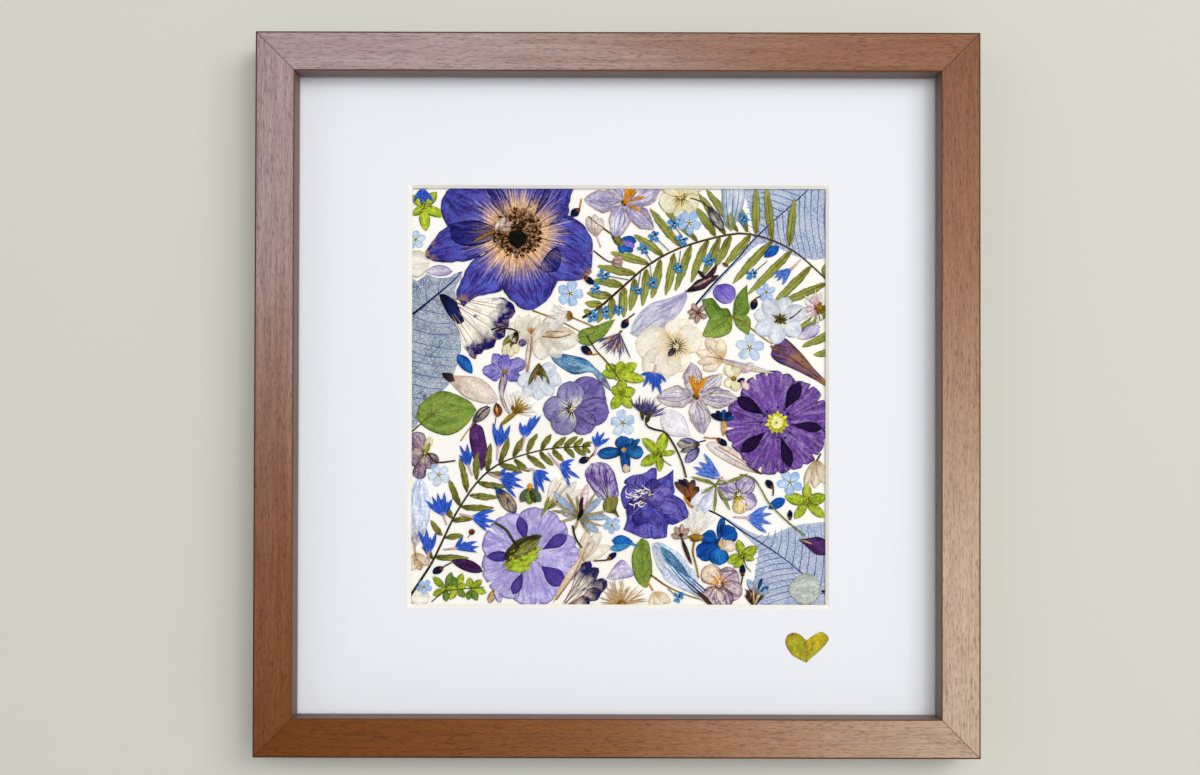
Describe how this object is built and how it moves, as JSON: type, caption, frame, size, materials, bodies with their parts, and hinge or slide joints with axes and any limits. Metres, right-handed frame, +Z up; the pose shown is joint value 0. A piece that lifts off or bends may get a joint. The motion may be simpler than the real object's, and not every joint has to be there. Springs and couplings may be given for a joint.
{
  "type": "pressed flower frame",
  "caption": "Square mitred wood frame with glass, a window mat and a card of pressed flowers, ferns and skeleton leaves, hung by a sawtooth hanger.",
  "frame": {"origin": "the notch of the sawtooth hanger that rests on the wall nail, in the plane of the moulding's back face", "axes": "+Z up, +Y from the front face towards the wall, +X to the right as seen from the front"},
  "size_m": [0.333, 0.0306, 0.333],
  "materials": {
    "moulding": "wood-grain faced, satin; greyish mauve-brown to red-brown with fine streaks",
    "glass": "clear float glass, polished",
    "mat_board": "smooth cool-white mat board",
    "flower_card": "warm-white uncoated card",
    "backing_board": "brown kraft-faced board",
    "steel": "bright zinc-plated steel",
    "felt": "dark grey felt",
    "leaf": "dried green leaf, matte",
    "fern": "dried fern, matte",
    "skeleton_leaf": "translucent blue-grey skeleton leaf",
    "violet_petal": "pressed violet petal, matte",
    "purple_petal": "pressed purple petal, matte",
    "lilac_petal": "pressed lilac petal, matte",
    "blue_petal": "pressed bright-blue petal, matte",
    "pale_blue_petal": "pressed pale-blue petal, translucent",
    "cream_petal": "pressed cream petal, matte",
    "beige_petal": "pressed grey-beige petal, translucent",
    "maroon_petal": "pressed maroon petal, matte",
    "brown_petal": "dried brown petal, stem or bud, matte"
  },
  "bodies": {
    "root": {"top_rail": "moulding", "bottom_rail": "moulding", "left_stile": "moulding", "right_stile": "moulding", "glass": "glass", "mat_board": "mat_board", "flower_card": "flower_card", "backing_board": "backing_board", "retaining_tab_top_1": "steel", "retaining_tab_top_2": "steel", "retaining_tab_right_1": "steel", "retaining_tab_right_2": "steel", "retaining_tab_bottom_1": "steel", "retaining_tab_bottom_2": "steel", "retaining_tab_left_1": "steel", "retaining_tab_left_2": "steel", "sawtooth_hanger": "steel", "hanger_nail_left": "steel", "hanger_nail_right": "steel", "bumper_left": "felt", "bumper_right": "felt", "small_flower_bed": "cream_petal", "cream_pansy": "cream_petal", "yellow_pansy": "cream_petal", "fan_flower_left": "cream_petal", "tan_petal": "cream_petal", "skeleton_leaf_left": "skeleton_leaf", "skeleton_leaf_top": "skeleton_leaf", "skeleton_leaf_low": "skeleton_leaf", "fern_upper": "fern", "fern_lower": "fern", "anemone": "violet_petal", "larkspur_violet": "violet_petal", "primula_purple": "purple_petal", "viola_mauve": "purple_petal", "primula_lilac": "lilac_petal", "trumpet_flower": "lilac_petal", "viola_rose": "lilac_petal", "viola_brown": "lilac_petal", "harebell": "lilac_petal", "spurred_flower": "lilac_petal", "star_flower_lilac": "beige_petal", "star_flower_beige": "beige_petal", "fan_flower_low": "beige_petal", "viola_pale": "beige_petal", "delphinium_bright": "blue_petal", "delphinium_dark": "blue_petal", "bell_flower": "pale_blue_petal", "lily_petal_teal": "pale_blue_petal", "lily_flower_blue": "pale_blue_petal", "twisted_flower": "brown_petal", "round_leaf": "leaf", "pointed_leaf": "leaf", "leaf_whorl": "leaf", "green_flower_pair": "leaf", "green_flower_mid": "leaf", "green_flower_right": "leaf", "oval_leaf": "leaf", "heart_leaf": "leaf", "maroon_petal": "maroon_petal"}
  },
  "joints": []
}
